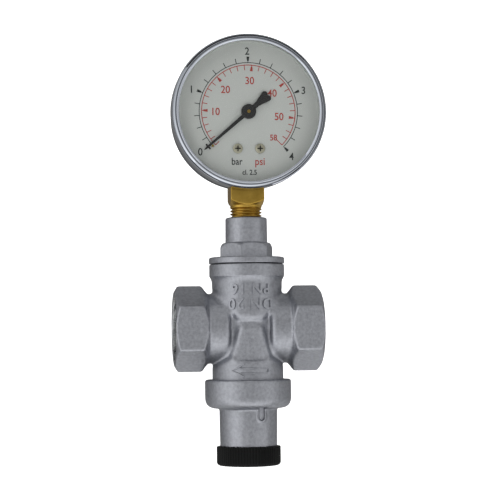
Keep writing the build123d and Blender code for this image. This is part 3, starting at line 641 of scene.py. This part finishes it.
# Drawn and turned brass, slightly tarnished: warm yellow going to olive, smooth, with faint tool marks.
brass = metal("turned_brass", "#A58438", "#BC9A48", (0.30, 0.42), 0.35, 0.012, 4.0)
skin_piece("brass_stem", stem, (-8, -8, 34), (8, 8, stem_top + 1), 0.26, brass, "valve", "turned_brass",
           ["gauge_socket"])

# ------------------------------------------------------------------ gauge case
# Deep-drawn steel cup with a rounded back, lacquered grey. The stem's brass carrier is screwed inside it
# and the bezel is rolled over its open edge.
CASE_WALL = 0.8
case_r = (case_high.x - case_low.x) / 2 / MM
case_back = -case_high.y / MM
case_front = -case_low.y / MM


def on_dial(points):
    """From the dial's own axes, with x right, y up and z towards the reader, to the row frame."""
    points = np.asarray(points, float)
    return np.stack([points[:, 0], -points[:, 2], points[:, 1] + gauge_z], 1) * MM + [axis_x, 0, 0]


def lacquer():
    """Grey lacquer over drawn steel: satin, cool, almost even."""
    made, tree, place, output = new_material("lacquered_steel")
    peel = add(tree, "ShaderNodeTexNoise", {"Vector": place, "Scale": grain(1.2), "Detail": 2.0})
    bump = add(tree, "ShaderNodeBump", {"Height": peel.outputs["Fac"], "Strength": 1.0,
                                        "Distance": 0.015 * MM})
    shader = add(tree, "ShaderNodeBsdfPrincipled", {
        "Base Color": linear("#3E4245"), "Metallic": 0.2, "Roughness": 0.6, "Specular IOR Level": 0.2,
        "Normal": bump.outputs["Normal"]})
    tree.links.new(shader.outputs["BSDF"], output.inputs["Surface"])
    return made


case_lacquer = lacquer()
lathe(rounded([(0.01, case_back, 0), (case_r, case_back, 4.0), (case_r, case_front, 0.2),
               (case_r - CASE_WALL, case_front, 0.2), (case_r - CASE_WALL, case_back + CASE_WALL, 3.0),
               (0.01, case_back + CASE_WALL, 0)], 8), 192, "drawn_case", case_lacquer, "valve", "case_steel",
      ["gauge_case"], dial=True)

# ------------------------------------------------------------------ gauge bezel and window
# A chromed brass ring rolled over the rim: a round outer bead, a shallow step, then a thin inner lip that
# holds the flat glass. The glass is 1.6 mm thick and clear.
bezel_low, bezel_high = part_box("gauge_bezel")
BEZEL_R = (bezel_high.x - bezel_low.x) / 2 / MM
bezel_back, bezel_front = -bezel_high.y / MM, -bezel_low.y / MM
window_low, window_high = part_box("gauge_window")
glass_back, glass_front = -window_high.y / MM, -window_low.y / MM
OPENING_R = 28.9


def polished_chrome():
    """Bright chrome plate: mirror-like, cool, with a trace of handling haze."""
    made, tree, place, output = new_material("polished_chrome_plate")
    haze = add(tree, "ShaderNodeTexNoise", {"Vector": place, "Scale": grain(6.0), "Detail": 3.0})
    rough = add(tree, "ShaderNodeMapRange", {"Value": haze.outputs["Fac"], "To Min": 0.03, "To Max": 0.09})
    shader = add(tree, "ShaderNodeBsdfPrincipled", {
        "Base Color": linear("#A3A7AE"), "Metallic": 1.0, "Roughness": rough.outputs["Result"]})
    tree.links.new(shader.outputs["BSDF"], output.inputs["Surface"])
    return made


chrome = polished_chrome()
bezel_steps = ((0, 1.9, 0.4), (0.55, 1.15, 0.8), (1.2, 0.6, 0.3), (1.5, 0.5, 0.1), (1.6, 0.95, 0.08),
               (1.85, 0.95, 0.08), (1.9, 0.2, 0.12), (2.2, 0, 0.12))
bezel_loop = [(case_r + 0.05, bezel_back, 0.1), (BEZEL_R, bezel_back, 0.3)]
bezel_loop += [(BEZEL_R - inward, bezel_front - back, r) for inward, back, r in bezel_steps]
bezel_loop += [(OPENING_R, bezel_front - 0.45, 0.1), (OPENING_R, glass_front, 0),
               (case_r + 0.05, glass_front, 0)]
lathe(rounded(bezel_loop), 224, "rolled_bezel", chrome, "valve", "polished_chrome", ["gauge_bezel"], 40,
      dial=True)


def clear_glass():
    """Clear flat glass: seen through, with a mirror sheen on its faces that grows at a low angle."""
    made, tree, _, output = new_material("clear_window_glass")
    clear = add(tree, "ShaderNodeBsdfTransparent", {"Color": linear("#F3F4F3")})
    sheen = add(tree, "ShaderNodeBsdfGlossy", {"Color": linear("#FFFFFF"), "Roughness": 0.03})
    edge = add(tree, "ShaderNodeFresnel", {"IOR": 1.45})
    side = add(tree, "ShaderNodeNewGeometry")
    outer = add(tree, "ShaderNodeMath", {0: 1.0, 1: side.outputs["Backfacing"]}, operation="SUBTRACT")
    share = add(tree, "ShaderNodeMath", {0: edge.outputs["Fac"], 1: outer.outputs["Value"]},
                operation="MULTIPLY")
    mix = add(tree, "ShaderNodeMixShader", {"Fac": share.outputs["Value"]})
    tree.links.new(clear.outputs["BSDF"], mix.inputs[1])
    tree.links.new(sheen.outputs["BSDF"], mix.inputs[2])
    tree.links.new(mix.outputs["Shader"], output.inputs["Surface"])
    return made


lathe(rounded([(0.01, glass_back, 0), (case_r - 0.15, glass_back, 0.2), (case_r - 0.15, glass_front, 0.2),
               (0.01, glass_front, 0)]), 160, "flat_glass", clear_glass(), "valve", "window_glass",
      ["gauge_window"], dial=True)

# ------------------------------------------------------------------ dial
# Thin aluminium plate, lacquered off-white and printed in two colours: bar outside in black, psi inside in
# red. The print stands a few hundredths of a millimetre proud, as screen ink does.
dial_low, dial_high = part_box("gauge_dial")
DIAL_R = (dial_high.x - dial_low.x) / 2 / MM
dial_face = -dial_low.y / MM
INK = 0.03
ZERO = 225.0
POINTER_REST = 220.7
SWEEP = 270.0
BAR_MAX = 4.0
PSI_MAX = 58.0
BAR_R = 20.3
PSI_R = 19.3


def printed(name, hex_colour, rough):
    """A flat paint or ink: an even colour with the faint mottle of a sprayed or screened coat."""
    made, tree, place, output = new_material(name)
    mottle = add(tree, "ShaderNodeTexNoise", {"Vector": place, "Scale": grain(0.6), "Detail": 2.0})
    roughness = add(tree, "ShaderNodeMapRange", {"Value": mottle.outputs["Fac"], "To Min": rough - 0.05,
                                                 "To Max": rough + 0.05})
    shader = add(tree, "ShaderNodeBsdfPrincipled", {
        "Base Color": linear(hex_colour), "Roughness": roughness.outputs["Result"]})
    tree.links.new(shader.outputs["BSDF"], output.inputs["Surface"])
    return made


dial_paint = printed("off_white_dial_lacquer", "#D0D1D0", 0.55)
black_ink = printed("black_screen_ink", "#26282A", 0.5)
red_ink = printed("red_screen_ink", "#B8423B", 0.5)


def flat_loop(loop, low, high):
    """A prism over a flat outline given in order, in the dial's axes."""
    n = len(loop)
    points = [(x, y, low) for x, y in loop] + [(x, y, high) for x, y in loop]
    faces = [tuple(range(n))[::-1], tuple(range(n, 2 * n))]
    faces += [(i, (i + 1) % n, n + (i + 1) % n, n + i) for i in range(n)]
    return points, faces


def spoke(angle, start, end, width_start, width_end):
    """The outline of a mark that points out from the dial's centre."""
    a = math.radians(angle)
    out, side = np.array([math.cos(a), math.sin(a)]), np.array([-math.sin(a), math.cos(a)])
    return [tuple(out * start - side * width_start / 2), tuple(out * end - side * width_end / 2),
            tuple(out * end + side * width_end / 2), tuple(out * start + side * width_start / 2)]


def arc_strip(radius, width, start, end):
    """Short prisms that make a printed arc between two angles."""
    steps = int(abs(end - start) / 1.5)
    angles = np.radians(np.linspace(start, end, steps + 1))
    points, faces = [], []
    for a in angles:
        for r, h in ((radius - width / 2, 0), (radius + width / 2, 0), (radius + width / 2, INK),
                     (radius - width / 2, INK)):
            points.append((r * math.cos(a), r * math.sin(a), dial_face + h))
    for i in range(steps):
        for k in range(4):
            faces.append((4 * i + k, 4 * i + (k + 1) % 4, 4 * i + 4 + (k + 1) % 4, 4 * i + 4 + k))
    last = 4 * steps
    faces += [(0, 1, 2, 3), (last + 3, last + 2, last + 1, last)]
    return points, [face[::-1] for face in faces] if end > start else faces


def words_on_dial(words, x, y, height, narrow=0.9, bold=0.06):
    """Flat printed words centred at a place on the dial."""
    curve = bpy.data.curves.new(words, "FONT")
    curve.body = words
    curve.size = height / 0.70
    curve.align_x = "CENTER"
    curve.resolution_u = 6
    curve.offset = bold
    holder = bpy.data.objects.new(words, curve)
    bpy.context.scene.collection.objects.link(holder)
    bpy.context.view_layer.update()
    mesh = bpy.data.meshes.new_from_object(holder.evaluated_get(bpy.context.evaluated_depsgraph_get()))
    flat = np.array([v.co for v in mesh.vertices])
    faces = [tuple(p.vertices) for p in mesh.polygons]
    bpy.data.objects.remove(holder)
    bpy.data.meshes.remove(mesh)
    flat[:, 1] -= height / 2
    return [(px * narrow + x, py + y, dial_face + INK) for px, py, _ in flat], faces


def print_piece(name, parts, material, slot):
    """Several printed outlines as one piece of ink on the dial."""
    points, faces = [], []
    for more, ring in parts:
        faces += [tuple(i + len(points) for i in face) for face in ring]
        points += more
    return mesh_piece(name, on_dial(np.array(points)), faces, material, "valve", slot, crease=30)


def scale_angle(value, top):
    """Where a value lies on the dial, in degrees up from the right."""
    return ZERO - SWEEP * value / top


def marks(top, step, major, radius, way):
    """The marks of one scale: fine ticks, and a wedge on a stem at each major value but the two ends'."""
    outlines = []
    for i in range(round(top / step) + 1):
        value = i * step
        angle = scale_angle(value, top)
        if 0 < value and abs(value / major - round(value / major)) < 1e-6:
            outlines.append(spoke(angle, radius, radius + way * 0.9, 0.3, 0.3))
            outlines.append(spoke(angle, radius + way * 0.7, radius + way * 2.5, 0.7, 1.2))
        elif 0 < value < top:
            outlines.append(spoke(angle, radius, radius + way * 2.1, 0.32, 0.32))
    return [flat_loop(outline if way > 0 else outline[::-1], dial_face, dial_face + INK)
            for outline in outlines]


lathe(rounded([(0.01, dial_face - 0.5, 0), (DIAL_R, dial_face - 0.5, 0.1), (DIAL_R, dial_face, 0.1),
               (0.01, dial_face, 0)], 2), 160, "dial_plate", dial_paint, "valve", "dial_white",
      ["gauge_dial"], dial=True)
black_parts = [arc_strip(BAR_R, 0.3, ZERO, ZERO - SWEEP)]
black_parts += marks(BAR_MAX, 0.2, 1.0, BAR_R, 1)
black_parts.append(flat_loop(spoke(POINTER_REST, 21.7, 22.4, 2.8, 2.8), dial_face, dial_face + INK))
black_parts += [words_on_dial("0", -20.0, -16.5, 3.0), words_on_dial("1", -23.4, 9.2, 3.0),
                words_on_dial("2", -0.3, 25.1, 3.0), words_on_dial("3", 22.9, 9.0, 3.0),
                words_on_dial("4", 17.6, -18.4, 3.0), words_on_dial("bar", -5.0, -20.4, 2.8, 0.86),
                words_on_dial("cl. 2.5", 0.2, -24.9, 2.0)]
print_piece("bar_scale_print", black_parts, black_ink, "black_paint")
red_parts = [arc_strip(PSI_R, 0.34, ZERO, ZERO - SWEEP)]
red_parts += marks(PSI_MAX, 2.0, 10.0, PSI_R, -1)
red_parts.append(flat_loop(spoke(ZERO - SWEEP, PSI_R - 2.9, PSI_R, 0.34, 0.34), dial_face, dial_face + INK))
red_parts.append(flat_loop(spoke(ZERO, PSI_R - 2.1, PSI_R, 0.34, 0.34), dial_face, dial_face + INK))
red_parts += [words_on_dial(words, x, y, height) for words, x, y, height in (
    ("10", -13.7, 0.1, 3.0), ("20", -9.4, 9.2, 3.0), ("30", 0.6, 12.9, 3.0), ("40", 9.9, 7.8, 3.0),
    ("50", 12.6, -1.9, 3.0), ("58", 10.2, -10.6, 2.4), ("psi", 4.5, -20.4, 3.0))]
print_piece("psi_scale_print", red_parts, red_ink, "dial_white")

# ------------------------------------------------------------------ pieces kept from the frame
# Machined, moulded and stamped pieces whose shape needs nothing more: each gets its real finish, and the
# dial screws also get painted shade in their slots.
steel = metal("machined_stainless_steel", "#9FA1A3", "#B9BBBC", (0.25, 0.38), 0.3, 0.01, 3.0)
screw_steel_painted_shade = metal("plated_screw_steel_painted_shade", "#CFC9B4", "#E0DAC6", (0.35, 0.5), 0.3, 0.015, 1.0)
# The screw heads get painted shade: an ambient-occlusion mask turns their colour near-black in the cross
# slots and other recesses, where shade would fall.
tree = screw_steel_painted_shade.node_tree
shade = add(tree, "ShaderNodeAmbientOcclusion", {"Distance": 1.2 * MM}, samples=16)
deep = add(tree, "ShaderNodeMath", {0: shade.outputs["AO"], 1: 7.0}, operation="POWER")
painted_slot_shade = add(tree, "ShaderNodeMix", {"Factor": deep.outputs["Value"]}, data_type="RGBA")
painted_slot_shade.inputs[6].default_value = linear("#1C1B19")
painted_slot_shade.inputs[7].default_value = linear("#D8D2BD")
tree.links.new(painted_slot_shade.outputs[2], tree.nodes["Principled BSDF"].inputs["Base Color"])
spring_wire = metal("phosphated_spring_wire", "#4A4B4D", "#626365", (0.4, 0.55), 0.2, 0.02, 2.0)
bronze = metal("rolled_phosphor_bronze", "#9A6E3E", "#B58550", (0.25, 0.4), 0.3, 0.01, 3.0)
rubber = printed("matte_nitrile_rubber", "#1B1B1B", 0.75)
pale_rubber = printed("pale_gasket_rubber", "#C9CCCA", 0.7)
fibre = printed("pressed_fibre", "#2E2C2A", 0.85)
needle_paint = printed("black_pointer_lacquer", "#0E0F10", 0.5)
finish = {
    "turned_brass": brass, "stainless_steel": steel, "spring_steel": spring_wire,
    "spring_bronze": bronze, "black_rubber": rubber, "grey_rubber": pale_rubber, "fibre": fibre,
    "black_plastic": black_plastic, "black_paint": needle_paint, "nickel_forging": blasted_nickel,
    "nickel_turned": blasted_nickel, "polished_chrome": chrome, "case_steel": case_lacquer,
    "dial_white": dial_paint, "window_glass": None}
slot_of = {part["node"]: part["material_slot"] for part in frame["record"]["subparts"]}
for name, node in nodes.items():
    material = screw_steel_painted_shade if name == "dial_screws" else finish[slot_of[name]]
    if material:
        node.data.materials.clear()
        node.data.materials.append(material)

# ------------------------------------------------------------------ stage, lights and camera
# White paper that rolls up from the floor into a wall, one large soft light from the left and a weaker one
# opposite. The camera stands a little left of the front and below the middle, tipped by under a degree.
floor_z = cad_box[0].z - 0.02
centre = Vector((axis_x, 0, 0.03))


def sweep_floor():
    """A floor that curves up into a wall, plain and pale."""
    half, back, rise, bend = 3.0, 1.6, 2.2, 0.8
    outline = [(-3.0, 0.0), (back - bend, 0.0)]
    outline += [(back - bend + bend * math.sin(a), bend - bend * math.cos(a))
                for a in np.linspace(0, math.pi / 2, 12)[1:]]
    outline.append((back, rise))
    points, faces = [], []
    for y, z in outline:
        points += [(-half, y, z + floor_z), (half, y, z + floor_z)]
    for i in range(len(outline) - 1):
        faces.append((2 * i, 2 * i + 1, 2 * i + 3, 2 * i + 2))
    mesh = bpy.data.meshes.new("floor")
    mesh.from_pydata(points, [], faces)
    mesh.shade_smooth()
    made = bpy.data.objects.new("floor", mesh)
    bpy.context.scene.collection.objects.link(made)
    return made


def pale_paper():
    """Matte white background paper, bright enough to read as pure white."""
    made, tree, _, output = new_material("white_background_paper")
    shader = add(tree, "ShaderNodeBsdfPrincipled", {
        "Base Color": linear("#F4F4F4"), "Roughness": 0.9, "Emission Color": linear("#FFFFFF"),
        "Emission Strength": 0.75})
    tree.links.new(shader.outputs["BSDF"], output.inputs["Surface"])
    return made


floor = sweep_floor()
floor.data.materials.append(pale_paper())
floor.visible_glossy = False

# The room: mid grey all round, paler below, with a dark gap beside the object that draws the metal's edges.
# A plain white stands in for it wherever it is seen directly.
STUDIO_LEVEL = 2.65
world = bpy.data.worlds.new("studio")
bpy.context.scene.world = world
world.use_nodes = True
tree = world.node_tree
direction = add(tree, "ShaderNodeTexCoord").outputs["Generated"]
parts = add(tree, "ShaderNodeSeparateXYZ", {"Vector": direction})


def ramp(value, stops):
    """A grey level read off a row of (direction from -1 to 1, level) stops."""
    place = add(tree, "ShaderNodeMapRange", {"Value": value, "From Min": -1.0, "From Max": 1.0})
    made = add(tree, "ShaderNodeValToRGB", {"Fac": place.outputs["Result"]})
    line = made.color_ramp.elements
    while len(line) < len(stops):
        line.new(0.5)
    for element, (at, level) in zip(line, stops):
        element.position = (at + 1) / 2
        element.color = (level, level, level, 1)
    return made.outputs["Color"]


height = ramp(parts.outputs["Z"], ((-1, 1.0), (-0.5, 0.72), (0, 0.42), (0.5, 0.38), (1, 0.42)))
along = ramp(parts.outputs["Y"], (
    (-1, 0.52), (-0.75, 0.60), (-0.4, 0.95), (-0.28, 0.95), (-0.18, 0.03), (0.18, 0.03), (0.28, 0.8),
    (0.42, 0.6), (0.6, 0.3), (0.88, 0.22), (1, 0.2)))
across = ramp(parts.outputs["X"], ((-1, 0.6), (-0.4, 0.9), (0, 0.8), (0.4, 0.95), (1, 0.7)))
level = add(tree, "ShaderNodeMath", {0: height, 1: along}, operation="MULTIPLY")
level = add(tree, "ShaderNodeMath", {0: level.outputs["Value"], 1: across}, operation="MULTIPLY")
level = add(tree, "ShaderNodeMath", {0: level.outputs["Value"], 1: STUDIO_LEVEL}, operation="MULTIPLY")
sight = add(tree, "ShaderNodeLightPath")
level = add(tree, "ShaderNodeMath", {0: level.outputs["Value"], 1: sight.outputs["Is Camera Ray"]},
            operation="MAXIMUM")
background = tree.nodes["Background"]
background.inputs["Color"].default_value = linear("#FFFFFF")
tree.links.new(level.outputs["Value"], background.inputs["Strength"])


def seen_from(azimuth, elevation, distance):
    """The place at a distance from the centre, round from the front and up from the level."""
    a, e = math.radians(azimuth), math.radians(elevation)
    return Vector((math.sin(a) * math.cos(e), -math.cos(a) * math.cos(e), math.sin(e))) * distance


def softbox(name, azimuth, elevation, distance, size, power):
    """A soft rectangular light in metres and watts, aimed at the middle of the valve."""
    light = bpy.data.lights.new(name, "AREA")
    light.shape = "RECTANGLE"
    light.size, light.size_y = size
    light.energy = power
    holder = bpy.data.objects.new(name, light)
    bpy.context.scene.collection.objects.link(holder)
    holder.location = centre + seen_from(azimuth, elevation, distance)
    holder.rotation_mode = "QUATERNION"
    holder.rotation_quaternion = (holder.location - centre).to_track_quat("Z", "Y")


softbox("left_softbox", -70, 4, 1.0, (1.2, 1.8), 5.6)
softbox("right_softbox", 74, 5, 1.0, (1.5, 1.8), 1.6)

AIM = Vector((axis_x + 0.0015, 0, 0.0326))
CAMERA_ROLL = math.radians(-0.68)
camera = bpy.data.cameras.new("camera")
camera.sensor_width = 36
camera.lens = 119.3
camera.clip_start = 0.01
camera_object = bpy.data.objects.new("camera", camera)
bpy.context.scene.collection.objects.link(camera_object)
camera_object.location = AIM + seen_from(-6.7, -3, 0.69)
level_look = (camera_object.location - AIM).to_track_quat("Z", "Y")
camera_object.rotation_mode = "QUATERNION"
camera_object.rotation_quaternion = level_look @ Quaternion((0, 0, 1), CAMERA_ROLL)
bpy.context.scene.camera = camera_object
bpy.context.scene.view_settings.view_transform = "Standard"
